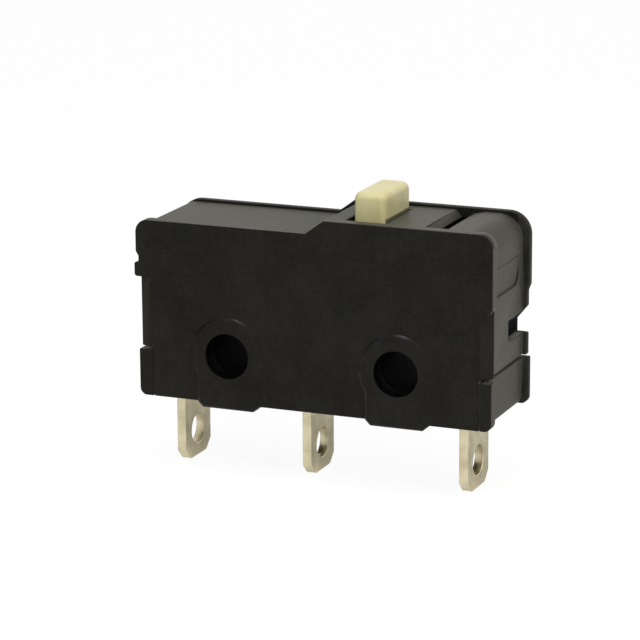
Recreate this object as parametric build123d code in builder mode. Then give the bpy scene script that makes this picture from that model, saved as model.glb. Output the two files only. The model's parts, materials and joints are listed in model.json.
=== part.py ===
from build123d import *
import os
from math import asin, cos, degrees, radians, sin

os.makedirs("parts", exist_ok=True)

# Sub-miniature snap-action switch, pin-plunger type with three solder lugs.
# Millimetres. The origin is the middle of the two mounting holes, halfway through
# the housing. +X runs along the housing towards the plunger end, +Y to the back
# broad face, +Z up, the way the plunger points.

# ---------------------------------------------------------------- housing outline
hole_spacing = 9.5  # between the two mounting holes
hole_diameter = 2.4
housing_left = 10.0  # from the origin to the left rim
housing_right = 9.95  # from the origin to the right rim
broad_face_span = 6.2  # from front face to back face, without the pads
underside_drop = 2.6  # from the hole centres down to the underside
low_top_height = 6.96  # from the hole centres up to the low part of the top
high_top_rise = 0.74  # the top steps up by this towards the plunger
step_start = -0.3  # where the slope of the step starts on the front rim
step_run = 1.0
step_lean = 0.22  # the panel and then the back rim each start it this much sooner
underside_corner_radius = 0.4

# ---------------------------------------------------------------- cover
side_wall = 1.0
end_wall = 0.8
roof = 1.0
front_rim_width = 0.7  # rims along the two broad faces
back_rim_width = 0.45
rim_rise = 0.14  # the rims stand above the top panel
rim_reach_left = 0.3  # and past the end panels
rim_reach_right = 0.37
waist_top_left = 3.87  # below these the rims are set in
waist_top_right = 3.55
waist_inset_left = 0.19
waist_inset_right = 0.14
shoulder_rise = 0.36  # the right shoulder slopes out over this height
waist_bevel_left_run = 0.65  # the front rim's upright corners are bevelled at the waist
waist_bevel_left_depth = 0.25
waist_bevel_right_run = 0.55
waist_bevel_right_depth = 0.65
left_corner_radius = 0.7
right_corner_radius = 1.2
panel_left_corner = 0.55
panel_right_corner = 1.3
latch_height = 0.74
latch_reach = 0.09
latch_depth = 1.2
latch_bevel = 0.1
nick_height = 0.62  # nick in the rim above the latch
nick_depth = 0.15
nick_slope = 0.25
pocket_bottom = 4.05  # shallow pocket in the right end panel, running out upwards
pocket_height = 1.5
pocket_depth = 0.1
pocket_back = 1.95
pocket_corner = 0.6
parting_gap = 0.12  # open seam between the cover and the base at each end
skirt_left = 9.05  # side plates below the seam, from the origin
skirt_right = 9.25
ceiling_step_shift = 0.2  # the ceiling steps up this far after the top does

# round pads with a leg below them at the mounting holes, on both broad faces
pad_radius = 2.1
pad_leg_width = 3.5
pad_height = 0.1
pad_slope_angle = 55.0  # of the pad's edge, from square to the face
pad_drop = 0.32  # the pads reach below the underside
pad_foot_bevel = 0.3

# lever groove in the top, beside the plunger
groove_start = 5.9
groove_slope_run = 0.3
groove_slope_depth = 0.38
groove_slot = 0.65
groove_depth = 0.65
groove_lip_run = 0.65  # bevel on the far side of the slot
groove_lip_drop = 0.15

# hook notch in the right end wall
notch_bottom = 1.25
notch_height = 1.45
notch_front = 0.5
notch_depth = 0.62  # from the waist of the rims

# ---------------------------------------------------------------- base
deck_height = 1.95  # top of the base inside the cover
base_fit = 0.03  # clearance between base and cover
deck_end_step = 0.9  # the deck is lower at its two ends
deck_past_strip = 0.15  # the high deck ends this far past the outer strips
base_reach_left = 0.07  # the base stands out past the waist
base_reach_right = 0.11
bend_relief_gap = 0.05
tail_pocket_gap = 0.08

# ---------------------------------------------------------------- terminals
sheet = 0.5  # terminal strip thickness
lug_width = 3.2
lug_tip_drop = 6.6  # from the hole centres down to the lug tips
lug_tip_bevel = 0.85
lug_hole_diameter = 1.6
lug_hole_up = 1.5  # hole centre above the lug tip
nc_x = -8.2  # middle of the strip
no_x = -0.9
com_x = 7.9
slot_fit = 0.01
bend_inside = 0.15
rivet_fit = 0.01

# ---------------------------------------------------------------- contacts
contact_x = -6.3
fixed_head_diameter = 1.8
fixed_head_height = 0.35
moving_head_diameter = 1.6
moving_head_height = 0.3
contact_dome = 0.1  # crown of the moving heads
shank_diameter = 0.9
tail_height = 0.15
tail_diameter = 1.4
contact_gap = 0.5
touch_gap = 0.01
strip_past_contact = 1.0

# ---------------------------------------------------------------- mechanism
arm_thickness = 0.25
arm_pivot_x = 1.0
arm_leg_inside = 1.0
arm_side_gap = 0.15  # arm to cover wall
arm_past_contact = 0.85
arm_nose_taper = 0.9
frame_wall_gap = 0.05  # com frame to cover wall
frame_height = 2.35  # of the com frame above the deck
frame_reach = 0.45  # com frame past the arm pivot
notch_gap = 0.03
notch_half_angle = 12.0
lever_thickness = 0.4
lever_hinge_x = 7.0
lever_hinge_z = 3.5
lever_side_gap = 0.05
lever_tongue_width = 1.8
trunnion_diameter = 0.5
trunnion_gap = 0.03
lever_rise_run = 0.35  # from the hinge to the bend below the crown
lever_bend_run = 0.85  # from the hinge to the start of the crown
lever_bend_drop = 0.5
lever_wide_length = 1.2  # the strip is at full width this far from the hinge
tail_x = 2.4  # the lever's tail hangs here
tail_bevel = 0.3
tail_past_hook = 0.1
tail_hole_drop = 0.02  # the hole sits this much below the eye's crossing

wire = 0.18
eye_radius = 0.42  # to the middle of the wire
coil_diameter = 1.2  # outside
coil_turns = 8
wire_sides = 6  # the thin wire is drawn with flats, which keeps it light
coil_end_gap = 0.33
eye_hole_gap = 0.13  # between the spring's eye and the edge of its hole
hook_before_contact = 1.7  # along the arm, from the spring's eye to the contact
tail_hook_z = 4.05
arm_window_gap = 0.08  # between the spring's eye and the end of the arm's window

# ---------------------------------------------------------------- plunger
plunger_x = 2.77
plunger_length_x = 1.73
plunger_width_y = 3.7
plunger_top = 9.1
plunger_travel = 0.95
plunger_fit = 0.04
plunger_top_radius = 0.4
plunger_side_radius = 0.3
flange_overhang = 0.45
flange_height = 0.65
flange_gap = 0.03
flange_side_gap = 0.1
nose_length = 0.9
nose_width = 2.4
nose_height = 0.4
nose_radius = 0.36
nose_gap = 0.02
relief_run = 0.45  # shallow relief in the top beside the plunger
relief_depth = 0.45
slot_clear = 0.08  # below the plunger's shoulders at full travel

# ---------------------------------------------------------------- worked out
face_y = broad_face_span / 2
cavity_y = face_y - side_wall
front_rim_y = face_y - front_rim_width
back_rim_y = face_y - back_rim_width
between_rims = front_rim_y + back_rim_y
high_top_height = low_top_height + high_top_rise
step_end = step_start + step_run
waist_left = housing_left - waist_inset_left
waist_right = housing_right - waist_inset_right
panel_low = low_top_height - rim_rise
panel_high = high_top_height - rim_rise
panel_left = housing_left - rim_reach_left
panel_right = housing_right - rim_reach_right
cavity_left = panel_left - end_wall
cavity_right = panel_right - end_wall
low_ceiling = low_top_height - roof
high_ceiling = high_top_height - roof
seam = parting_gap / 2
hole_xs = (-hole_spacing / 2, hole_spacing / 2)
pad_foot = -underside_drop - pad_drop
pad_leg = pad_leg_width / 2
underside = -underside_drop
skirt_top = waist_top_right / 2
latch_top = waist_top_left + latch_height

lug_tip = -lug_tip_drop
lug_hole_z = lug_tip + lug_hole_up
no_face = deck_height + sheet + fixed_head_height
stack = 2 * moving_head_height + arm_thickness
nc_face = no_face + stack + contact_gap + 2 * touch_gap
nc_strip_bottom = nc_face + fixed_head_height
arm_pivot_z = (no_face + nc_face) / 2
arm_contact_reach = arm_pivot_x - contact_x
arm_tilt = degrees(asin((contact_gap / 2) / arm_contact_reach))
arm_length = arm_contact_reach / cos(radians(arm_tilt))

slot_half_x = plunger_length_x / 2 + plunger_fit
slot_half_y = plunger_width_y / 2 + plunger_fit
flange_top = high_ceiling - flange_gap
flange_bottom = flange_top - flange_height
nose_bottom = flange_bottom - nose_height
lever_top = nose_bottom - nose_gap
slot_floor = flange_top - plunger_travel - slot_clear

frame_y = cavity_y - frame_wall_gap
cheek_y = frame_y - sheet
lever_y = cheek_y - lever_side_gap


# ------------------------------------------------------------------ case base
base_left = waist_left + base_reach_left
base_right = waist_right + base_reach_right
core_y = cavity_y - base_fit
core_left = cavity_left - base_fit
core_right = cavity_right - base_fit
deck_end = deck_height - deck_end_step


def base_outline(plane, left, right):
    """Side view of the base below the seam, with rounded lower corners."""
    with BuildSketch(plane) as sketch:
        with BuildLine():
            Polyline(
                (-left, underside),
                (right, underside),
                (right, -seam),
                (-left, -seam),
                close=True,
            )
        make_face()
        fillet(sketch.vertices().group_by(Axis.Y)[0], underside_corner_radius)
    return sketch.sketch


with BuildPart() as case_base:
    # full-width ends in line with the cover's end panels and rims
    extrude(base_outline(Plane.XZ.offset(front_rim_y), panel_left, panel_right), amount=-between_rims)
    extrude(base_outline(Plane.XZ.offset(face_y), base_left, base_right), amount=-front_rim_width)
    extrude(base_outline(Plane.XZ.offset(-back_rim_y), base_left, base_right), amount=-back_rim_width)
    # only the core stays between the cover's side plates
    side_bay = (skirt_left + base_fit + skirt_right + base_fit, face_y - core_y)
    for side in (-1, 1):
        with BuildSketch(Plane.XY.offset(underside)) as bay:
            with Locations(((skirt_right - skirt_left) / 2, side * (face_y + core_y) / 2)):
                Rectangle(*side_bay)
        extrude(amount=underside_drop, mode=Mode.SUBTRACT)
    # the deck that carries the frames inside the cover
    with BuildSketch(Plane.XZ) as deck_outline:
        with BuildLine():
            Polyline(
                (-core_left, underside / 2),
                (core_right, underside / 2),
                (core_right, deck_end),
                (com_x + sheet / 2 + deck_past_strip, deck_end),
                (com_x + sheet / 2 + deck_past_strip, deck_height),
                (nc_x - sheet / 2 - deck_past_strip, deck_height),
                (nc_x - sheet / 2 - deck_past_strip, deck_end),
                (-core_left, deck_end),
                close=True,
            )
        make_face()
    extrude(amount=core_y, both=True)
    # feet under the mounting holes
    with BuildSketch(Plane.XZ) as feet:
        for x in hole_xs:
            with BuildLine():
                Polyline(
                    (x - pad_leg, underside / 2),
                    (x - pad_leg, pad_foot + pad_foot_bevel),
                    (x - pad_leg + pad_foot_bevel, pad_foot),
                    (x + pad_leg - pad_foot_bevel, pad_foot),
                    (x + pad_leg, pad_foot + pad_foot_bevel),
                    (x + pad_leg, underside / 2),
                    close=True,
                )
            make_face()
    extrude(amount=core_y, both=True)
    # mounting holes
    with BuildSketch(Plane.XZ) as base_holes:
        with Locations(*[(x, 0) for x in hole_xs]):
            Circle(hole_diameter / 2)
    extrude(amount=face_y, both=True, mode=Mode.SUBTRACT)
    # slots for the three terminals
    with BuildSketch(Plane.XY.offset(pad_foot)) as slots:
        with Locations((nc_x, 0), (no_x, 0), (com_x, 0)):
            Rectangle(sheet + 2 * slot_fit, lug_width + 2 * slot_fit)
    extrude(amount=deck_height - pad_foot, mode=Mode.SUBTRACT)
    # room for the inside of the normally open strip's bend
    with BuildSketch(Plane.XY.offset(deck_height)) as bend_relief:
        with Locations((no_x - sheet / 2, 0)):
            Rectangle(2 * (bend_inside + bend_relief_gap), lug_width + 2 * slot_fit)
    extrude(amount=-(bend_inside + bend_relief_gap), mode=Mode.SUBTRACT)
    # pocket for the riveted tail of the normally open contact
    with BuildSketch(Plane.XY.offset(deck_height)) as tail_pocket:
        with Locations((contact_x, 0)):
            Circle(tail_diameter / 2 + tail_pocket_gap)
    extrude(amount=-(tail_height + tail_pocket_gap), mode=Mode.SUBTRACT)
case_base.part.label = "case_base"


# ------------------------------------------------------------------ case cover
def panel_outline(plane):
    """Side view of the body between the rims: straight ends and a stepped top."""
    with BuildSketch(plane) as sketch:
        with BuildLine():
            Polyline(
                (-panel_left, seam),
                (panel_right, seam),
                (panel_right, panel_high),
                (step_end - step_lean, panel_high),
                (step_start - step_lean, panel_low),
                (-panel_left, panel_low),
                close=True,
            )
        make_face()
        fillet(sketch.vertices().sort_by_distance((panel_right, panel_high))[0], panel_right_corner)
        fillet(sketch.vertices().sort_by_distance((-panel_left, panel_low))[0], panel_left_corner)
    return sketch.sketch


def rim_outline(plane, lean):
    """Side view of a rim above the seam: waist, shoulders and stepped top."""
    with BuildSketch(plane) as sketch:
        with BuildLine():
            Polyline(
                (-waist_left, seam),
                (waist_right, seam),
                (waist_right, waist_top_right),
                (housing_right, waist_top_right + shoulder_rise),
                (housing_right, high_top_height),
                (step_end - lean, high_top_height),
                (step_start - lean, low_top_height),
                (-housing_left, low_top_height),
                (-housing_left, waist_top_left),
                (-waist_left, waist_top_left),
                close=True,
            )
        make_face()
        top_right = (housing_right, high_top_height)
        top_left = (-housing_left, low_top_height)
        fillet(sketch.vertices().sort_by_distance(top_right)[0], right_corner_radius)
        fillet(sketch.vertices().sort_by_distance(top_left)[0], left_corner_radius)
    return sketch.sketch


def pad_outline(plane, x):
    """Round pad at a mounting hole with a straight leg down to a bevelled foot."""
    with BuildSketch(plane) as sketch:
        with Locations((x, 0)):
            Circle(pad_radius)
        with BuildLine():
            Polyline(
                (x - pad_leg, 0),
                (x - pad_leg, pad_foot + pad_foot_bevel),
                (x - pad_leg + pad_foot_bevel, pad_foot),
                (x + pad_leg - pad_foot_bevel, pad_foot),
                (x + pad_leg, pad_foot + pad_foot_bevel),
                (x + pad_leg, 0),
                close=True,
            )
        make_face()
    return sketch.sketch


with BuildPart() as case_cover:
    # the body between the two rims, then the rims themselves
    extrude(panel_outline(Plane.XZ.offset(front_rim_y)), amount=-between_rims)
    extrude(rim_outline(Plane.XZ.offset(face_y), 0), amount=-front_rim_width)
    extrude(rim_outline(Plane.XZ.offset(-back_rim_y), 2 * step_lean), amount=-back_rim_width)
    # bevelled upright corners of the front rim at the waist
    for end, run, depth, top in (
        (-waist_left, waist_bevel_left_run, waist_bevel_left_depth, waist_top_left),
        (waist_right, -waist_bevel_right_run, waist_bevel_right_depth, waist_top_right),
    ):
        with BuildSketch(Plane.XY.offset(seam)) as waist_bevel:
            with BuildLine():
                Polyline((end, -face_y), (end + run, -face_y), (end, depth - face_y), close=True)
            make_face()
        extrude(amount=top - seam, mode=Mode.SUBTRACT)
    # nick in the left edge of each rim, and the latch nose below it
    for side, width in ((-1, back_rim_width), (1, front_rim_width)):
        with BuildSketch(Plane.XZ.offset(side * face_y)) as nick:
            with BuildLine():
                Polyline(
                    (-housing_left, latch_top + nick_height),
                    (nick_depth - housing_left, latch_top + nick_height - nick_slope),
                    (nick_depth - housing_left, latch_top),
                    (-housing_left, latch_top),
                    close=True,
                )
            make_face()
        extrude(amount=-side * width, mode=Mode.SUBTRACT)
        with BuildSketch(Plane.XZ.offset(side * face_y)) as latch:
            with BuildLine():
                Polyline(
                    (-panel_left, waist_top_left),
                    (-housing_left, waist_top_left),
                    (-housing_left - latch_reach, waist_top_left + latch_bevel),
                    (-housing_left - latch_reach, latch_top),
                    (-panel_left, latch_top + latch_bevel),
                    close=True,
                )
            make_face()
        extrude(amount=-side * latch_depth)
    # side plates that run down over the base, with the hole pads on them
    for side in (-1, 1):
        with BuildSketch(Plane.XZ.offset(side * face_y)) as skirt:
            with Locations(((skirt_right - skirt_left) / 2, (underside + skirt_top) / 2)):
                Rectangle(skirt_right + skirt_left, skirt_top - underside)
        extrude(amount=-side * side_wall)
        for x in hole_xs:
            pad = pad_outline(Plane.XZ.offset(side * face_y), x)
            extrude(pad, amount=-side * side_wall)
            extrude(pad, amount=side * pad_height, taper=pad_slope_angle)
    # the room inside, open downwards
    with BuildSketch(Plane.XZ) as room:
        with BuildLine():
            Polyline(
                (-cavity_left, pad_foot),
                (cavity_right, pad_foot),
                (cavity_right, high_ceiling),
                (step_end + ceiling_step_shift, high_ceiling),
                (step_start + ceiling_step_shift, low_ceiling),
                (-cavity_left, low_ceiling),
                close=True,
            )
        make_face()
    extrude(amount=cavity_y, both=True, mode=Mode.SUBTRACT)
    # mounting holes
    with BuildSketch(Plane.XZ) as cover_holes:
        with Locations(*[(x, 0) for x in hole_xs]):
            Circle(hole_diameter / 2)
    extrude(amount=face_y + pad_height, both=True, mode=Mode.SUBTRACT)
    # plunger slot, deep enough for the pressed plunger, and the relief beside it
    with BuildSketch(Plane.XY.offset(slot_floor)) as plunger_slot:
        with Locations((plunger_x, 0)):
            Rectangle(2 * slot_half_x, 2 * slot_half_y)
    extrude(amount=high_top_height - slot_floor, mode=Mode.SUBTRACT)
    with BuildSketch(Plane.XY.offset(high_top_height)) as slot_relief:
        with Locations((plunger_x - slot_half_x - relief_run / 2, 0)):
            Rectangle(relief_run, 2 * cavity_y)
    extrude(amount=-relief_depth, mode=Mode.SUBTRACT)
    # lever groove: a slope, a narrow slot, and a bevel on its far side
    slot_left = groove_start + groove_slope_run
    slot_right = slot_left + groove_slot
    with BuildSketch(Plane.XZ.offset(front_rim_y)) as groove:
        with BuildLine():
            Polyline(
                (groove_start, panel_high),
                (slot_left, panel_high - groove_slope_depth),
                (slot_left, panel_high - groove_depth),
                (slot_right, panel_high - groove_depth),
                (slot_right, panel_high - groove_lip_drop),
                (slot_right + groove_lip_run, panel_high),
                close=True,
            )
        make_face()
    extrude(amount=-between_rims, mode=Mode.SUBTRACT)
    # pocket in the right end panel: its floor leans out and meets the panel at the top
    pocket_floor = Plane(
        origin=(panel_right - pocket_depth, 0, pocket_bottom),
        x_dir=(0, 1, 0),
        z_dir=(pocket_height, 0, -pocket_depth),
    )
    with BuildSketch(pocket_floor) as pocket:
        with BuildLine():
            Polyline(
                (-front_rim_y, 0),
                (pocket_back, 0),
                (pocket_back, pocket_height),
                (-front_rim_y, pocket_height),
                close=True,
            )
        make_face()
        fillet(pocket.vertices().sort_by_distance((pocket_back, 0))[0], pocket_corner)
    extrude(amount=2 * pocket_depth, mode=Mode.SUBTRACT)
    # hook notch in the right end, open to the back
    with BuildSketch(Plane.XY.offset(notch_bottom)) as notch:
        with Locations((waist_right, (notch_front + face_y + pad_height) / 2)):
            Rectangle(2 * notch_depth, face_y + pad_height - notch_front)
    extrude(amount=notch_height, mode=Mode.SUBTRACT)
case_cover.part.label = "case_cover"


# ------------------------------------------------------------------ terminals
def lug(x):
    """Solder lug below z = 0: flat strip with a bevelled tip and a round eye."""
    half = lug_width / 2
    with BuildPart() as strip:
        with BuildSketch(Plane.YZ.offset(x - sheet / 2)):
            with BuildLine():
                Polyline(
                    (-half, 0),
                    (-half, lug_tip + lug_tip_bevel),
                    (-half + lug_tip_bevel, lug_tip),
                    (half - lug_tip_bevel, lug_tip),
                    (half, lug_tip + lug_tip_bevel),
                    (half, 0),
                    close=True,
                )
            make_face()
            with Locations((0, lug_hole_z)):
                Circle(lug_hole_diameter / 2, mode=Mode.SUBTRACT)
        extrude(amount=sheet)
    return strip.part


def bent_strip(x, strip_bottom, strip_end):
    """Upright above z = 0 that turns over into a level strip, seen from the side."""
    inner_x = x + sheet / 2 if strip_end > x else x - sheet / 2
    outer_x = 2 * x - inner_x
    strip_top = strip_bottom + sheet
    with BuildSketch(Plane.XZ) as sketch:
        with BuildLine():
            Polyline(
                (outer_x, 0),
                (inner_x, 0),
                (inner_x, strip_bottom),
                (strip_end, strip_bottom),
                (strip_end, strip_top),
                (outer_x, strip_top),
                close=True,
            )
        make_face()
        fillet(sketch.vertices().sort_by_distance((inner_x, strip_bottom))[0], bend_inside)
        fillet(sketch.vertices().sort_by_distance((outer_x, strip_top))[0], bend_inside + sheet)
    return sketch.sketch


def fixed_contact(face_z, seat_z, tail_z):
    """Riveted contact: head from its face to the strip, shank, and upset tail."""
    with BuildPart() as rivet:
        for radius, z_from, z_to in (
            (fixed_head_diameter / 2, face_z, seat_z),
            (shank_diameter / 2, seat_z, tail_z),
            (tail_diameter / 2, tail_z, tail_z + (tail_height if tail_z > seat_z else -tail_height)),
        ):
            with BuildSketch(Plane.XY.offset(z_from)):
                with Locations((contact_x, 0)):
                    Circle(radius)
            extrude(amount=z_to - z_from)
    return rivet.part


def rivet_hole(z_bottom):
    """Hole for a contact's shank through a level strip."""
    with BuildPart() as hole:
        with BuildSketch(Plane.XY.offset(z_bottom)):
            with Locations((contact_x, 0)):
                Circle(shank_diameter / 2 + rivet_fit)
        extrude(amount=sheet)
    return hole.part


nc_strip_end = contact_x + strip_past_contact
no_strip_end = contact_x - strip_past_contact

with BuildPart() as nc_terminal:
    add(lug(nc_x))
    extrude(bent_strip(nc_x, nc_strip_bottom, nc_strip_end), amount=lug_width / 2, both=True)
    add(rivet_hole(nc_strip_bottom), mode=Mode.SUBTRACT)
nc_terminal.part.label = "nc_terminal"

with BuildPart() as no_terminal:
    add(lug(no_x))
    extrude(bent_strip(no_x, deck_height, no_strip_end), amount=lug_width / 2, both=True)
    add(rivet_hole(deck_height), mode=Mode.SUBTRACT)
no_terminal.part.label = "no_terminal"

frame_left = arm_pivot_x - frame_reach
frame_right = com_x + sheet / 2

with BuildPart() as com_terminal:
    add(lug(com_x))
    with BuildSketch(Plane.YZ.offset(com_x - sheet / 2)):
        with Locations((0, deck_height / 2)):
            Rectangle(lug_width, deck_height)
    extrude(amount=sheet)
    # frame folded to a U, open towards the contacts
    with BuildSketch(Plane.XY.offset(deck_height)) as fold:
        with BuildLine():
            Polyline(
                (frame_left, -frame_y),
                (frame_right, -frame_y),
                (frame_right, frame_y),
                (frame_left, frame_y),
                (frame_left, cheek_y),
                (frame_right - sheet, cheek_y),
                (frame_right - sheet, -cheek_y),
                (frame_left, -cheek_y),
                close=True,
            )
        make_face()
        fillet(fold.vertices().group_by(Axis.X)[1], bend_inside)
        fillet(fold.vertices().group_by(Axis.X)[-1], bend_inside + sheet)
    extrude(amount=frame_height)
    # notches for the contact arm and holes for the push lever's trunnions
    notch_radius = arm_thickness / 2 + notch_gap
    mouth_x = frame_left - arm_pivot_x - notch_radius
    mouth_z = notch_radius - mouth_x * sin(radians(notch_half_angle))
    with BuildSketch(Plane.XZ) as cheek_holes:
        with Locations((arm_pivot_x, arm_pivot_z)):
            Circle(notch_radius)
        with BuildLine():
            Polyline(
                (arm_pivot_x, arm_pivot_z - notch_radius),
                (arm_pivot_x, arm_pivot_z + notch_radius),
                (arm_pivot_x + mouth_x, arm_pivot_z + mouth_z),
                (arm_pivot_x + mouth_x, arm_pivot_z - mouth_z),
                close=True,
            )
        make_face()
        with Locations((lever_hinge_x, lever_hinge_z)):
            Circle(trunnion_diameter / 2 + trunnion_gap)
    extrude(amount=frame_y, both=True, mode=Mode.SUBTRACT)
com_terminal.part.label = "com_terminal"

# ------------------------------------------------------------------ contacts
with BuildPart() as no_contact:
    add(fixed_contact(no_face, deck_height + sheet, deck_height))
no_contact.part.label = "no_contact"

with BuildPart() as nc_contact:
    add(fixed_contact(nc_face, nc_strip_bottom, nc_strip_bottom + sheet))
nc_contact.part.label = "nc_contact"

# the arm's own frame: x from its pivot along the arm, z through its thickness
tilt = radians(arm_tilt)
arm_plane = Plane(
    origin=(arm_pivot_x, 0, arm_pivot_z),
    x_dir=(-cos(tilt), 0, sin(tilt)),
    z_dir=(sin(tilt), 0, cos(tilt)),
)
arm_tip = arm_length + arm_past_contact
arm_edge = cavity_y - arm_side_gap
arm_hook_distance = arm_length - hook_before_contact
window_end = arm_hook_distance - eye_radius + wire / 2 + arm_window_gap
eye_hole_radius = wire / 2 + eye_hole_gap

with BuildPart() as contact_arm:
    with BuildSketch(arm_plane.offset(-arm_thickness / 2)) as arm_blank:
        with BuildLine():
            Polyline(
                (0, -arm_edge),
                (window_end, -arm_edge),
                (arm_tip, -arm_edge + arm_nose_taper),
                (arm_tip, arm_edge - arm_nose_taper),
                (window_end, arm_edge),
                (0, arm_edge),
                (0, arm_leg_inside),
                (window_end, arm_leg_inside),
                (window_end, -arm_leg_inside),
                (0, -arm_leg_inside),
                close=True,
            )
        make_face()
        with Locations((arm_hook_distance + eye_radius, 0)):
            Circle(eye_hole_radius, mode=Mode.SUBTRACT)
        with Locations((arm_length, 0)):
            Circle(shank_diameter / 2 + rivet_fit, mode=Mode.SUBTRACT)
    extrude(amount=arm_thickness)
    # rounded ends that rock in the frame's notches
    for side in (-1, 1):
        with BuildSketch(Plane.XZ.offset(side * arm_leg_inside)):
            with Locations((arm_pivot_x, arm_pivot_z)):
                Circle(arm_thickness / 2)
        extrude(amount=side * (arm_edge - arm_leg_inside))
contact_arm.part.label = "contact_arm"

head_radius = moving_head_diameter / 2
head_face = arm_thickness / 2 + moving_head_height
crown_radius = (head_radius**2 + contact_dome**2) / (2 * contact_dome)
crown_drop = crown_radius - (crown_radius**2 - (head_radius / 2) ** 2) ** 0.5
contact_plane = Plane(
    origin=arm_plane.from_local_coords(Vector(arm_length, 0, 0)),
    x_dir=arm_plane.x_dir,
    z_dir=(0, 1, 0),
)

with BuildPart() as moving_contact:
    # half section of the double-headed rivet, turned about its own axis
    with BuildSketch(contact_plane):
        with BuildLine():
            Polyline((0, -head_face), (0, head_face))
            ThreePointArc(
                (0, head_face),
                (head_radius / 2, head_face - crown_drop),
                (head_radius, head_face - contact_dome),
            )
            Polyline(
                (head_radius, head_face - contact_dome),
                (head_radius, arm_thickness / 2),
                (shank_diameter / 2, arm_thickness / 2),
                (shank_diameter / 2, -arm_thickness / 2),
                (head_radius, -arm_thickness / 2),
                (head_radius, contact_dome - head_face),
            )
            ThreePointArc(
                (head_radius, contact_dome - head_face),
                (head_radius / 2, crown_drop - head_face),
                (0, -head_face),
            )
        make_face()
    revolve(axis=Axis(contact_plane.origin, contact_plane.y_dir))
moving_contact.part.label = "moving_contact"

# ------------------------------------------------------------------ push lever
lever_mid = lever_top - lever_thickness / 2
tail_hole_z = tail_hook_z + eye_radius - tail_hole_drop
tail_end = tail_hook_z - tail_past_hook + lever_thickness / 2
narrow_left = tail_x - lever_thickness
narrow_right = lever_hinge_x - lever_wide_length

with BuildPart() as push_lever:
    # bent strip seen from the side: hinge, rise, crown under the plunger, tail
    with BuildSketch(Plane.XZ) as lever_side:
        with BuildLine():
            Polyline(
                (lever_hinge_x, lever_hinge_z),
                (lever_hinge_x - lever_rise_run, lever_mid - lever_bend_drop),
                (lever_hinge_x - lever_bend_run, lever_mid),
                (tail_x + tail_bevel, lever_mid),
                (tail_x, lever_mid - tail_bevel),
                (tail_x, tail_end),
            )
            offset(amount=lever_thickness / 2, side=Side.BOTH)
        make_face()
    extrude(amount=lever_y, both=True)
    # the strip is narrow from the crown on
    for side in (-1, 1):
        with BuildSketch(Plane.XZ.offset(side * lever_tongue_width / 2)):
            with Locations(((narrow_left + narrow_right) / 2, lever_top)):
                Rectangle(narrow_right - narrow_left, 2 * (lever_top - lever_hinge_z))
        extrude(amount=side * lever_y, mode=Mode.SUBTRACT)
    # trunnions in the frame's cheeks
    with BuildSketch(Plane.XZ):
        with Locations((lever_hinge_x, lever_hinge_z)):
            Circle(trunnion_diameter / 2)
    extrude(amount=frame_y, both=True)
    # eye hole in the tail
    with BuildSketch(Plane.YZ.offset(tail_x - lever_thickness)):
        with Locations((0, tail_hole_z)):
            Circle(eye_hole_radius)
    extrude(amount=2 * lever_thickness, mode=Mode.SUBTRACT)
push_lever.part.label = "push_lever"

# ------------------------------------------------------------------ plunger
flange_half_x = plunger_length_x / 2 + flange_overhang
flange_half_y = cavity_y - flange_side_gap

with BuildPart() as plunger:
    with BuildSketch(Plane.XY.offset(flange_top)) as head:
        with Locations((plunger_x, 0)):
            RectangleRounded(plunger_length_x, plunger_width_y, plunger_side_radius)
    extrude(amount=plunger_top - flange_top)
    fillet(plunger.edges().group_by(Axis.Z)[-1], plunger_top_radius)
    with BuildSketch(Plane.XY.offset(flange_bottom)) as flange:
        with Locations((plunger_x, 0)):
            Rectangle(2 * flange_half_x, 2 * flange_half_y)
    extrude(amount=flange_height)
    # rounded nose that presses the lever
    with BuildSketch(Plane.XZ) as nose:
        with Locations((plunger_x, flange_bottom - nose_height / 2)):
            Rectangle(nose_length, nose_height)
        fillet(nose.vertices().group_by(Axis.Y)[0], nose_radius)
    extrude(amount=nose_width / 2, both=True)
plunger.part.label = "plunger"

# ------------------------------------------------------------------ snap spring
arm_eye = arm_plane.from_local_coords(Vector(arm_hook_distance, 0, 0))
lever_eye = Vector(tail_x, 0, tail_hook_z)
spring_length = (lever_eye - arm_eye).length
spring_plane = Plane(origin=arm_eye, x_dir=lever_eye - arm_eye, z_dir=(0, 1, 0))
coil_radius = (coil_diameter - wire) / 2
coil_start = eye_radius + coil_end_gap
coil_length = spring_length - 2 * coil_start
coil_axis = spring_plane.x_dir
coil_near = spring_plane.from_local_coords(Vector(coil_start, 0, 0))

with BuildPart() as snap_spring:
    # coil, stretched between the two hooks
    with BuildLine() as coil_path:
        Helix(
            pitch=coil_length / coil_turns,
            height=coil_length,
            radius=coil_radius,
            center=coil_near,
            direction=coil_axis,
        )
    with BuildSketch(Plane(origin=coil_path.line @ 0, z_dir=coil_path.line % 0)):
        RegularPolygon(wire / 2, wire_sides)
    sweep()
    # at each end a leg from the coil to the axis, and an eye
    for eye, toward, coil_tip in (
        (arm_eye, coil_axis, coil_path.line @ 0),
        (lever_eye, -coil_axis, coil_path.line @ 1),
    ):
        leg_root = eye + toward * eye_radius
        leg = coil_tip - leg_root
        with BuildSketch(Plane(origin=leg_root, z_dir=leg)):
            RegularPolygon(wire / 2, wire_sides)
        extrude(amount=leg.length + wire / 2)
        with BuildSketch(Plane(origin=eye, x_dir=toward, z_dir=toward.cross(Vector(0, 1, 0)))):
            with Locations((eye_radius, 0)):
                RegularPolygon(wire / 2, wire_sides)
        revolve(axis=Axis(eye, (0, 1, 0)))
snap_spring.part.label = "snap_spring"

pieces = (
    case_base,
    case_cover,
    plunger,
    push_lever,
    contact_arm,
    moving_contact,
    com_terminal,
    no_terminal,
    nc_terminal,
    no_contact,
    nc_contact,
    snap_spring,
)
for piece in pieces:
    export_step(piece.part, f"parts/{piece.part.label}.step")
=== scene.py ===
"""Sub-miniature snap-action switch: finishes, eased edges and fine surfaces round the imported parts."""
import json
import math

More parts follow.
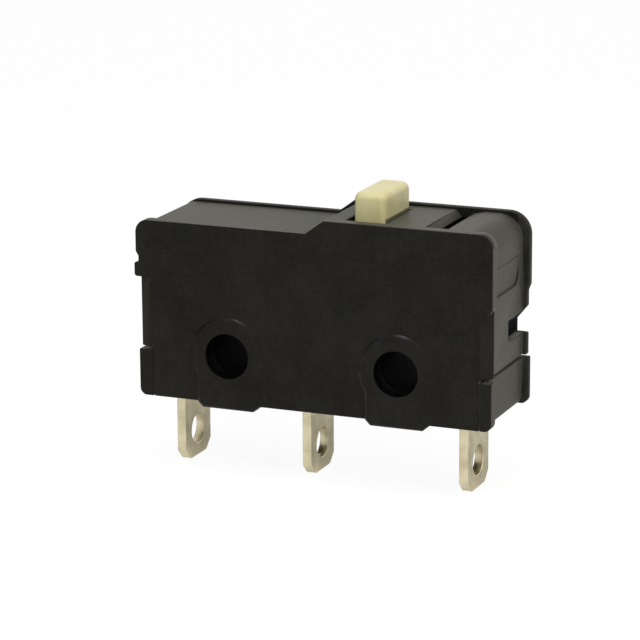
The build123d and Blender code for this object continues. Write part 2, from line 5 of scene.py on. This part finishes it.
import bmesh
import bpy
import numpy as np
from mathutils import Matrix, Vector


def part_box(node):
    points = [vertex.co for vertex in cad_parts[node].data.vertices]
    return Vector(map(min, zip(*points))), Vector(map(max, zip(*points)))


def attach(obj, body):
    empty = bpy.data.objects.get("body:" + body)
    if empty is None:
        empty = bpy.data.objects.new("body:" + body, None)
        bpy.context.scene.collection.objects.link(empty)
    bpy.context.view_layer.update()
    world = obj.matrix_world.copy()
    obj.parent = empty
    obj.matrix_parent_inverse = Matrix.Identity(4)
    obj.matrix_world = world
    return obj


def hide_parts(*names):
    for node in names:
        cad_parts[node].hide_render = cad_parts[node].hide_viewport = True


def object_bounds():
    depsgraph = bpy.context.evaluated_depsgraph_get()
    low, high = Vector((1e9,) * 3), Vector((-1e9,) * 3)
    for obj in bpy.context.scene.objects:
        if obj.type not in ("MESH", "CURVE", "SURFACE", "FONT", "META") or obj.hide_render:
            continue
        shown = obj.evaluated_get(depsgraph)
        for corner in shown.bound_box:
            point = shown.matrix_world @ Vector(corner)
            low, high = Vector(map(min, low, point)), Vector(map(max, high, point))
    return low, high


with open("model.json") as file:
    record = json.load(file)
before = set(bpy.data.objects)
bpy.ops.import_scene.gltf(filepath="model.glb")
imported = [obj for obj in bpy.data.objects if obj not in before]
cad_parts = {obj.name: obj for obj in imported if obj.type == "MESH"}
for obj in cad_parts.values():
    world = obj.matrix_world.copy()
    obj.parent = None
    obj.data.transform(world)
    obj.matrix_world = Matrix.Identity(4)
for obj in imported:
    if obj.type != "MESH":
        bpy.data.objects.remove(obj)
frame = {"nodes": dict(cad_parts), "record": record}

MM = 0.001
cad_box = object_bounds()


def span(x, y, z):
    """A box as its lowest and highest corner, from where it starts and ends in millimetres."""
    return [tuple(end * MM for end in corner) for corner in zip(x, y, z)]


# ------------------------------------------------------------------ sizes that the finishes and edges follow
mounts = {mount["name"]: mount for mount in frame["record"]["mounts"]}
fade = 0.02 * MM  # from one finish to the next
near = 0.01 * MM  # points closer than this are in one place

# cover
cover_low, cover_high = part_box("case_cover")
left_end = cover_low[0] + 0.09 * MM  # without the latch's nose
right_end, pad_top, high_top = cover_high
low_top = high_top - 0.74 * MM
face_y = pad_top - 0.1 * MM  # the broad faces, without the pads
pad_edge_start = (face_y + 0.002 * MM, face_y + 0.01 * MM)  # of the glossy slopes round the pads
pad_edge_end = (pad_top - 0.015 * MM, pad_top - 0.003 * MM)
front_rim = (-face_y, -face_y + 0.7 * MM)
back_rim = (face_y - 0.45 * MM, face_y)
notch_front = 0.5 * MM
notch_wall, notch_mouth = 9.19 * MM, 9.81 * MM  # along x
notch_ceiling = 2.7 * MM
notch_fall = 0.75 * MM  # of the ceiling, towards the wall

# mounting bores
bore_spacing = mounts["mounting_holes"]["dims"]["spacing_x_mm"] * MM
bore_radius = mounts["mounting_holes"]["dims"]["hole_r_mm"] * MM
bore_mouth = (face_y - 0.2 * MM, face_y - 0.1 * MM)
mouth_margin, seam_margin = 0.015 * MM, 0.165 * MM  # how far round a bore its painted shade goes

# plunger
flange_overhang = 0.45 * MM
head_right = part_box("plunger")[1][0] - flange_overhang
# painted shade on the plunger's right side, where its foot stands in the slot
shaded_side = (head_right - 0.05 * MM, head_right)
foot_shade_heights = (7.66 * MM, 7.78 * MM)  # the painted shade fades out between these heights

# solder lugs
lug_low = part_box("no_terminal")[0]
lug_half = 1.6 * MM  # half the lug's width
lug_bevel = 0.85 * MM
front_bevel, back_bevel = 0.6 * MM, 0.55 * MM  # as the tips are drawn here
sheet = mounts["no_lug_eye"]["dims"]["length_mm"] * MM
eye_radius = mounts["no_lug_eye"]["dims"]["r_mm"] * MM
eye_rise = mounts["no_lug_eye"]["pos_m"][2] - lug_low[2]  # its centre above the tip

# where the black moulding gets painted shade, and painted light on the back rim's inner wall
whole_height = (-3.0, 7.8)
# painted light goes on the back rim's inner wall in this box
back_rim_wall = span(x=(9.3, 10.3), y=(2.55, 2.67), z=whole_height)
# painted shade goes on the back rim's outside in this box
back_rim_outside = span(x=(-10.2, 10.3), y=(2.70, 3.08), z=whole_height)
# corners that get painted shade
shaded_corners = (
    span(x=(6.15, 6.92), y=(-2.5, 2.7), z=(6.80, 7.17)),  # slot of the lever groove
    span(x=(9.00, 9.56), y=(0.47, 3.15), z=(1.28, 2.40)),  # wall of the hook notch
    span(x=(1.33, 1.85), y=(-2.5, 2.7), z=(7.15, 7.46)),  # relief beside the plunger
)


# ------------------------------------------------------------------ shader maths
class Wire:
    """An output in a node tree. Arithmetic on it adds Math nodes, add() makes any other node."""

    def __init__(self, tree, socket=None):
        self.tree = tree
        self.socket = socket

    def add(self, kind, settings=None, inputs=None, output=0):
        """A node of this kind: its settings first, then the values or wires of its inputs."""
        node = self.tree.nodes.new(kind)
        for name, value in (settings or {}).items():
            setattr(node, name, value)
        for key, value in (inputs or {}).items():
            if isinstance(value, Wire):
                self.tree.links.new(value.socket, node.inputs[key])
            else:
                node.inputs[key].default_value = value
        return Wire(self.tree, node.outputs[output] if node.outputs else None)

    def maths(self, operation, *values, clamp=False):
        """A Math node on these values, in this order."""
        settings = {"operation": operation, "use_clamp": clamp}
        return self.add("ShaderNodeMath", settings, dict(enumerate(values)))

    def __add__(self, other):
        return self.maths("ADD", self, other)

    def __radd__(self, other):
        return self.maths("ADD", other, self)

    def __sub__(self, other):
        return self.maths("SUBTRACT", self, other)

    def __rsub__(self, other):
        return self.maths("SUBTRACT", other, self)

    def __mul__(self, other):
        return self.maths("MULTIPLY", self, other)

    def __rmul__(self, other):
        return self.maths("MULTIPLY", other, self)

    def __neg__(self):
        return self.maths("SUBTRACT", 0.0, self)

    def __abs__(self):
        return self.maths("ABSOLUTE", self)

    def root(self):
        """The square root."""
        return self.maths("SQRT", self)

    def or_larger(self, other):
        """The larger of the two."""
        return self.maths("MAXIMUM", self, other)

    def smooth(self, low, high):
        """0 below low, 1 above high, smooth between."""
        inputs = {0: self, 1: low, 2: high}
        return self.add("ShaderNodeMapRange", {"interpolation_type": "SMOOTHSTEP"}, inputs)

    def blend(self, colour_a, colour_b):
        """colour_a where this wire is 0, colour_b where it is 1."""
        inputs = {0: self, 6: colour_a, 7: colour_b}
        return self.add("ShaderNodeMix", {"data_type": "RGBA"}, inputs, output=2)

    def mixed(self, shader_a, shader_b):
        """shader_a where this wire is 0, shader_b where it is 1."""
        return self.add("ShaderNodeMixShader", {}, {0: self, 1: shader_a, 2: shader_b})


class Finish:
    """One material: its tree, its object coordinates and its surface.

    start is a wire with no output of its own, from which the first nodes are made."""

    def __init__(self, name):
        self.material = bpy.data.materials.new(name)
        self.material.use_nodes = True
        self.tree = self.material.node_tree
        self.tree.nodes.clear()
        self.start = Wire(self.tree)
        self.place = self.start.add("ShaderNodeTexCoord", output="Object")
        self.x, self.y, self.z = (
            self.start.add("ShaderNodeSeparateXYZ", {}, {"Vector": self.place}, axis)
            for axis in "XYZ"
        )

    def stretched(self, scale):
        """The object coordinates with each axis multiplied by its own number."""
        inputs = {"Vector": self.place, "Scale": scale}
        return self.start.add("ShaderNodeMapping", {"vector_type": "POINT"}, inputs)

    def grain(self, size, detail=2.0, roughness=0.5, place=None):
        """Noise from 0 to 1 whose lumps are about this size."""
        inputs = {
            "Vector": place or self.place,
            "Scale": 1.0 / size,
            "Detail": detail,
            "Roughness": roughness,
        }
        return self.start.add("ShaderNodeTexNoise", {}, inputs)

    def bump(self, height, depth):
        """Normals of a relief: height from 0 to 1 stands for depth."""
        return self.start.add("ShaderNodeBump", {}, {"Height": height, "Distance": depth})

    def shader(self, **inputs):
        """A Principled shader; an underscore in a name stands for a space."""
        named = {key.replace("_", " "): value for key, value in inputs.items()}
        return self.start.add("ShaderNodeBsdfPrincipled", {}, named)

    def done(self, shader):
        """Ends the tree with this shader."""
        self.start.add("ShaderNodeOutputMaterial", {}, {"Surface": shader})
        return self.material

    def in_box(self, box):
        """1 inside the box and 0 past the fade."""
        inside = 1.0
        for value, start, end in zip((self.x, self.y, self.z), *box):
            inside = inside * value.smooth(start - fade, start) * (1.0 - value.smooth(end, end + fade))
        return inside

    def in_bores(self):
        """1 on the walls of the two mounting bores and in the seams that open into them, where shade is
        painted.
        """
        aside = abs(self.x) - bore_spacing / 2
        reach = (aside * aside + self.z * self.z).root()
        inside = 1.0 - abs(self.y).smooth(*bore_mouth)
        margin = mouth_margin + (seam_margin - mouth_margin) * inside
        return 1.0 - (reach - margin).smooth(bore_radius, bore_radius + fade)

    def on_pad_edges(self):
        """1 on the slopes round the pads, between the broad faces and the pads' flat tops."""
        out = abs(self.y)
        return out.smooth(*pad_edge_start) * (1.0 - out.smooth(*pad_edge_end))


def rgba(red, green, blue):
    return (red, green, blue, 1.0)


# ------------------------------------------------------------------ finishes
def moulded_black(name, tone=1.0):
    """Filled black moulding compound: faint cloudy tone over a fine spark-eroded texture.

    Painted shade darkens walls far inside bores, notch and slots and partly the back rim's outside;
    painted light lifts its inner wall. The pads' edges are smooth and glossy, as the mould leaves them."""
    finish = Finish(name)
    cloud = finish.grain(2.2 * MM, 3.0)
    mottle = finish.grain(0.45 * MM, 3.0, 0.6)
    spark = finish.grain(0.13 * MM, 2.0, 0.6)
    tint = (0.4 * cloud + 0.3 * mottle + 0.3 * spark).smooth(0.36, 0.64)
    relief = 0.6 * spark + 0.4 * mottle
    dark = rgba(0.0005 * tone, 0.0005 * tone, 0.0005 * tone)
    light = rgba(0.0100 * tone, 0.0100 * tone, 0.0093 * tone)
    black = tint.blend(dark, light)
    painted_light = tint.blend(rgba(0.016, 0.016, 0.014), rgba(0.034, 0.034, 0.030))
    # painted light: the back rim's inner wall is lighter than its shade leaves it
    face = finish.shader(
        Base_Color=finish.in_box(back_rim_wall).blend(black, painted_light),
        Roughness=0.38 + 0.12 * mottle,
        IOR=1.2,
        Specular_Tint=rgba(1.0, 0.97, 0.88),
        Sheen_Weight=0.25,
        Sheen_Roughness=0.5,
        Sheen_Tint=rgba(1.0, 0.95, 0.72),
        Normal=finish.bump(relief, 0.012 * MM),
    )
    # dark finish that stands for the shade far inside bores, notch and slots
    wall = finish.shader(
        Base_Color=tint.blend(rgba(0.0014, 0.0014, 0.0014), rgba(0.003, 0.003, 0.0028)),
        Roughness=0.6,
        IOR=1.06,
        Normal=finish.bump(relief, 0.006 * MM),
    )
    edge = finish.shader(
        Base_Color=black,
        Roughness=0.2 + 0.1 * mottle,
        IOR=1.26,
        Normal=finish.bump(relief, 0.006 * MM),
    )
    rim_shade_share = 0.45  # painted shade on the back rim's outside, this share of the full painted shade
    # painted shade: the bores, the shaded corners and part of the back rim's outside
    painted_shade = finish.in_bores().or_larger(rim_shade_share * finish.in_box(back_rim_outside))
    for corner in shaded_corners:
        painted_shade = painted_shade.or_larger(finish.in_box(corner))
    return finish.done(painted_shade.mixed(finish.on_pad_edges().mixed(face, edge), wall))


def moulded_cream(name):
    """Cream engineering plastic with a soft inner glow, faint flow shading and painted shade at its right
    foot.
    """
    finish = Finish(name)
    flow = finish.grain(1.4 * MM, 2.0)
    mottle = finish.grain(0.3 * MM, 2.0)
    tint = (0.7 * flow + 0.3 * mottle).smooth(0.3, 0.7)
    # painted shade: the right side darkens towards its foot
    painted_foot_shade = finish.x.smooth(*shaded_side) * (1.0 - finish.z.smooth(*foot_shade_heights))
    cream = tint.blend(rgba(0.70, 0.62, 0.30), rgba(0.78, 0.72, 0.40))
    return finish.done(
        finish.shader(
            Base_Color=(0.9 * painted_foot_shade).blend(cream, rgba(0.06, 0.045, 0.025)),
            Roughness=0.32 + 0.1 * mottle,
            IOR=1.4,
            Subsurface_Weight=0.15,
            Subsurface_Radius=(0.9, 0.7, 0.4),
            Subsurface_Scale=0.4 * MM,
            Normal=finish.bump(mottle, 0.004 * MM),
        )
    )


along_x, along_z = (0.12, 1, 1), (1, 1, 0.12)  # rolling lines are drawn out along this axis


def plated(name, dark, light, rough=0.3, along=along_z):
    """Rolled strip with a bright surface: cloudy tarnish over fine rolling lines."""
    finish = Finish(name)
    rolled = finish.grain(0.05 * MM, 2.0, 0.5, finish.stretched(along))
    cloud = finish.grain(0.9 * MM, 3.0, 0.6)
    tint = (0.75 * cloud + 0.25 * rolled).smooth(0.3, 0.7)
    return finish.done(
        finish.shader(
            Base_Color=tint.blend(dark, light),
            Metallic=1.0,
            Roughness=rough + 0.12 * cloud + 0.05 * rolled,
            Normal=finish.bump(rolled, 0.0015 * MM),
        )
    )


case_finish = moulded_black("black_moulding")
base_finish = moulded_black("black_moulding_base", 0.95)
plunger_finish = moulded_cream("cream_moulding")
terminal_finish = plated("silver_plate", rgba(0.53, 0.475, 0.315), rgba(0.77, 0.69, 0.475))
arm_finish = plated("copper_alloy_strip", rgba(0.62, 0.36, 0.18), rgba(0.78, 0.48, 0.26), 0.25, along_x)
steel_finish = plated("bright_steel", rgba(0.42, 0.42, 0.43), rgba(0.6, 0.6, 0.61), 0.28, along_x)
contact_finish = plated("silver_contact", rgba(0.78, 0.76, 0.72), rgba(0.9, 0.89, 0.86), 0.2)


def paint(node, material):
    """Puts one material in every slot of a CAD node."""
    slots = frame["nodes"][node].data.materials
    for index in range(len(slots)):
        slots[index] = material


# ------------------------------------------------------------------ forms drawn again on the copies
def redrawn_corner(points, corner, side, old, new, faces):
    """Points on a quarter circle of radius old in a corner (x, z), moved onto one of radius new.

    Each point keeps its angle, and both circles touch the corner's two straight edges, so both
    centres lie on its diagonal. side holds the signs of x and z that lead out at the corner;
    faces are the two values of y that the rim lies between."""
    corner, side = np.array(corner), np.array(side)
    reach = points[:, [0, 2]] - (corner - side * old)
    outward = (reach * side > -near / 10).all(axis=1)
    on_circle = abs(np.hypot(reach[:, 0], reach[:, 1]) - old) < near
    in_rim = (points[:, 1] > faces[0] - near) & (points[:, 1] < faces[1] + near)
    picked = outward & on_circle & in_rim
    moved = corner - side * new + reach * new / old
    points[picked, 0] = moved[picked, 0]
    points[picked, 2] = moved[picked, 1]


def cover_corners(points):
    """The front rim's right corner is drawn tighter, the back rim's left corner fuller, and the
    hook notch's ceiling falls in a plane, from nothing at its mouth to the full fall at its wall."""
    redrawn_corner(points, (right_end, high_top), (1, 1), 1.2 * MM, 0.75 * MM, front_rim)
    redrawn_corner(points, (left_end, low_top), (-1, 1), 0.7 * MM, 1.15 * MM, back_rim)
    in_notch = (points[:, 0] > notch_wall - near) & (points[:, 1] > notch_front - near)
    ceiling = in_notch & (abs(points[:, 2] - notch_ceiling) < near)
    fall = notch_fall * (notch_mouth - points[:, 0]) / (notch_mouth - notch_wall)
    points[ceiling, 2] -= fall[ceiling]


def squarer_tip(points):
    """A lug's tip bevels made smaller: each bevel's two corners slide along the straight edges."""
    tip = points[:, 2].min()
    out = abs(points[:, 1])
    bevel = np.where(points[:, 1] < 0, front_bevel, back_bevel)
    at_side = (abs(points[:, 2] - tip - lug_bevel) < near) & (abs(out - lug_half) < near)
    at_end = (points[:, 2] < tip + near) & (abs(out - lug_half + lug_bevel) < near)
    points[at_side, 2] = (tip + bevel)[at_side]
    points[at_end, 1] = (np.sign(points[:, 1]) * (lug_half - bevel))[at_end]


def lug_share(start, end, tip):
    """The corners at a lug's tip are rounded to the whole width, its other edges to a fifth of it."""
    through_sheet = abs(end[0] - start[0]) > sheet / 2
    below_eye = max(start[2], end[2]) < tip + eye_rise - eye_radius
    return 1.0 if through_sheet and below_eye and abs(start[1]) > eye_radius else 0.2


# ------------------------------------------------------------------ eased copies of moulded and folded parts
weld_distance = 0.0001 * MM
flat_turn = math.radians(0.4)  # facets that turn less than this make one flat face
sharp_turn = math.radians(28.0)  # edges that turn more than this are rounded


def eased_copy(node, body, material, width, segments=2, reshape=None, share=None):
    """A welded copy of a CAD node that stands for it: flat faces made whole, outer edges rounded.

    reshape changes the array of points first. Only edges that turn outwards sharply are rounded,
    to the width, or to the share of it that share gives for an edge's two ends and the lowest z."""
    mesh = frame["nodes"][node].data.copy()
    mesh.name = node + "_eased"
    points = np.empty(3 * len(mesh.vertices), np.float32)
    mesh.vertices.foreach_get("co", points)
    points = points.reshape(-1, 3).astype(float)
    if reshape:
        reshape(points)
        mesh.vertices.foreach_set("co", points.astype(np.float32).ravel())
    tip = points[:, 2].min()
    shape = bmesh.new()
    shape.from_mesh(mesh)
    bmesh.ops.remove_doubles(shape, verts=shape.verts, dist=weld_distance)
    bmesh.ops.dissolve_limit(shape, angle_limit=flat_turn, verts=shape.verts, edges=shape.edges)
    bmesh.ops.recalc_face_normals(shape, faces=shape.faces)
    weights = shape.edges.layers.float.new("bevel_weight_edge")
    for edge in shape.edges:
        start, end = edge.verts
        turn = edge.calc_face_angle_signed(0.0)
        rounded = edge.is_manifold and turn > sharp_turn
        edge_share = share(start.co, end.co, tip) if share else 1.0
        edge[weights] = edge_share if rounded else 0.0
        edge.smooth = edge.is_manifold and turn > -sharp_turn
    for face in shape.faces:
        face.smooth = True
    shape.to_mesh(mesh)
    shape.free()
    mesh.materials.clear()
    mesh.materials.append(material)
    piece = bpy.data.objects.new(node + "_eased", mesh)
    bpy.context.scene.collection.objects.link(piece)
    round_over = piece.modifiers.new("rounded edges", "BEVEL")
    round_over.limit_method = "WEIGHT"
    round_over.width = width
    round_over.segments = segments
    round_over.use_clamp_overlap = False
    level = piece.modifiers.new("flat faces stay flat", "WEIGHTED_NORMAL")
    level.mode = "FACE_AREA"
    level.weight = 50
    level.keep_sharp = True
    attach(piece, body)
    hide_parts(node)


eased_copy("case_cover", "housing", case_finish, 0.06 * MM, reshape=cover_corners)
eased_copy("case_base", "housing", base_finish, 0.06 * MM)
for terminal in ("com_terminal", "no_terminal", "nc_terminal"):
    eased_copy(
        terminal,
        "housing",
        terminal_finish,
        0.28 * MM,
        segments=4,
        reshape=squarer_tip,
        share=lug_share,
    )
eased_copy("plunger", "plunger", plunger_finish, 0.08 * MM, segments=3)
eased_copy("push_lever", "push_lever", steel_finish, 0.03 * MM)
eased_copy("contact_arm", "contact_arm", arm_finish, 0.02 * MM)
paint("snap_spring", steel_finish)
for contact in ("moving_contact", "no_contact", "nc_contact"):
    paint(contact, contact_finish)


# ------------------------------------------------------------------ studio
def kind_of_ray(start, kind):
    """1 for rays of this kind and 0 for the others."""
    return start.add("ShaderNodeLightPath", output=kind)


# Parts of the floor and the sky are dimmer. Each starts at its first number and is full at its second.
left_part, left_dimming = (12 * MM, 24 * MM), 0.7  # along -x, for the light that the floor sheds
beside_part = (-16 * MM, -8 * MM)  # along y, the part of the left that the gloss doesn't show
behind_part, behind_dimming = (-4 * MM, 4 * MM), 0.85  # along y, in the gloss
far_part = (25 * MM, 85 * MM)  # along x + y, where the gloss shows the floor in full again
glow_share, glow_strength = 0.85, 1.09  # of the floor's white, where it is seen or mirrored
sky_left_part, sky_left_dimming = (0.5, 0.85), 0.65  # along -x of the direction
sky_light = 0.45  # the sky's strength as a light


def studio_floor(level, size):
    """Pale floor just under the lugs; seen directly it is white, and it keeps the soft shadow.

    The housing's gloss shows it weaker behind the switch and not at all on the far left, and its
    left part sheds less light, so that slopes on the left of the housing stay dark."""
    mesh = bpy.data.meshes.new("floor")
    half = size / 2
    corners = [(-half, -half, level), (half, -half, level), (half, half, level), (-half, half, level)]
    mesh.from_pydata(corners, [], [(0, 1, 2, 3)])
    floor = bpy.data.objects.new("floor", mesh)
    bpy.context.scene.collection.objects.link(floor)
    finish = Finish("pale_floor")
    cloth = finish.grain(3 * MM, 2.0)
    pale = cloth.blend(rgba(0.78, 0.78, 0.77), rgba(0.82, 0.82, 0.81))
    seen = kind_of_ray(finish.start, "Is Camera Ray")
    mirrored = kind_of_ray(finish.start, "Is Glossy Ray")
    to_the_left = (-finish.x).smooth(*left_part)
    dimmed = left_dimming * to_the_left * (1.0 - seen)
    colour = dimmed.blend(pale, rgba(0.1, 0.1, 0.1))
    shaded = finish.start.add("ShaderNodeBsdfDiffuse", {}, {"Color": colour})
    white = {"Color": rgba(1, 1, 1), "Strength": glow_strength}
    glow = finish.start.add("ShaderNodeEmission", {}, white)
    beside = to_the_left * finish.y.smooth(*beside_part)
    far_off = (finish.x + finish.y).smooth(*far_part)
    behind = finish.y.smooth(*behind_part) * (1.0 - far_off)
    in_gloss = mirrored * ((1.0 - beside) * (1.0 - behind_dimming * behind))
    mesh.materials.append(finish.done((glow_share * (seen + in_gloss)).mixed(shaded, glow)))


def studio_sky(name):
    """White sky, at full strength where it is seen, mirrored or seen through. As a light it is
    about half as strong, and its left side is dimmer."""
    world = bpy.data.worlds.new(name)
    bpy.context.scene.world = world
    world.use_nodes = True
    world.node_tree.nodes.clear()
    sky = Wire(world.node_tree)
    seen = kind_of_ray(sky, "Is Camera Ray")
    mirrored = kind_of_ray(sky, "Is Glossy Ray")
    passed = kind_of_ray(sky, "Is Transmission Ray")
    direct = sky.maths("ADD", seen + mirrored, passed, clamp=True)
    heading = sky.add("ShaderNodeTexCoord", output="Generated")
    to_the_right = sky.add("ShaderNodeSeparateXYZ", {}, {"Vector": heading}, "X")
    left_side = (-to_the_right).smooth(*sky_left_part) * (1.0 - seen)
    strength = (sky_light + (1.0 - sky_light) * direct) * (1.0 - sky_left_dimming * left_side)
    white = {"Color": rgba(1, 1, 1), "Strength": strength}
    sky.add("ShaderNodeOutputWorld", {}, {"Surface": sky.add("ShaderNodeBackground", {}, white)})


def softbox(name, place, size, power):
    """A square area lamp that faces the switch's middle; place is in millimetres from there."""
    lamp = bpy.data.lights.new(name, "AREA")
    lamp.shape = "SQUARE"
    lamp.size = size
    lamp.energy = power
    holder = bpy.data.objects.new(name, lamp)
    middle = (Vector(cad_box[0]) + Vector(cad_box[1])) / 2
    holder.location = middle + Vector(place) * MM
    holder.rotation_euler = (middle - holder.location).to_track_quat("-Z", "Y").to_euler()
    bpy.context.scene.collection.objects.link(holder)


def rolled_camera(aim, azimuth, elevation, roll, distance, focal, sensor):
    """Camera at this distance from aim, azimuth to the right of the front, then rolled."""
    a = math.radians(azimuth)
    e = math.radians(elevation)
    back = Vector((math.sin(a) * math.cos(e), -math.cos(a) * math.cos(e), math.sin(e)))
    data = bpy.data.cameras.new("camera")
    data.sensor_width = sensor
    data.lens = focal
    data.clip_start = 1 * MM
    data.clip_end = 10.0
    camera = bpy.data.objects.new("camera", data)
    turn = back.to_track_quat("Z", "Y").to_matrix() @ Matrix.Rotation(math.radians(roll), 3, "Z")
    camera.matrix_world = Matrix.Translation(aim + back * distance) @ turn.to_4x4()
    bpy.context.scene.collection.objects.link(camera)
    bpy.context.scene.camera = camera


floor_gap = 0.05 * MM  # between the lugs' tips and the floor
studio_floor(level=cad_box[0][2] - floor_gap, size=2.0)
studio_sky("studio")
softbox("key_above", (20, -30, 120), 90 * MM, 0.055)
softbox("side_right", (120, -10, 50), 80 * MM, 0.02)
softbox("front_high", (-12, -73, 92), 28 * MM, 0.025)
rolled_camera(
    aim=Vector((-0.814, 0.114, 1.567)) * MM,
    azimuth=22.749,
    elevation=14.519,
    roll=-0.353,
    distance=162.49 * MM,
    focal=173.113,
    sensor=36.0,
)
bpy.context.scene.view_settings.view_transform = "Standard"
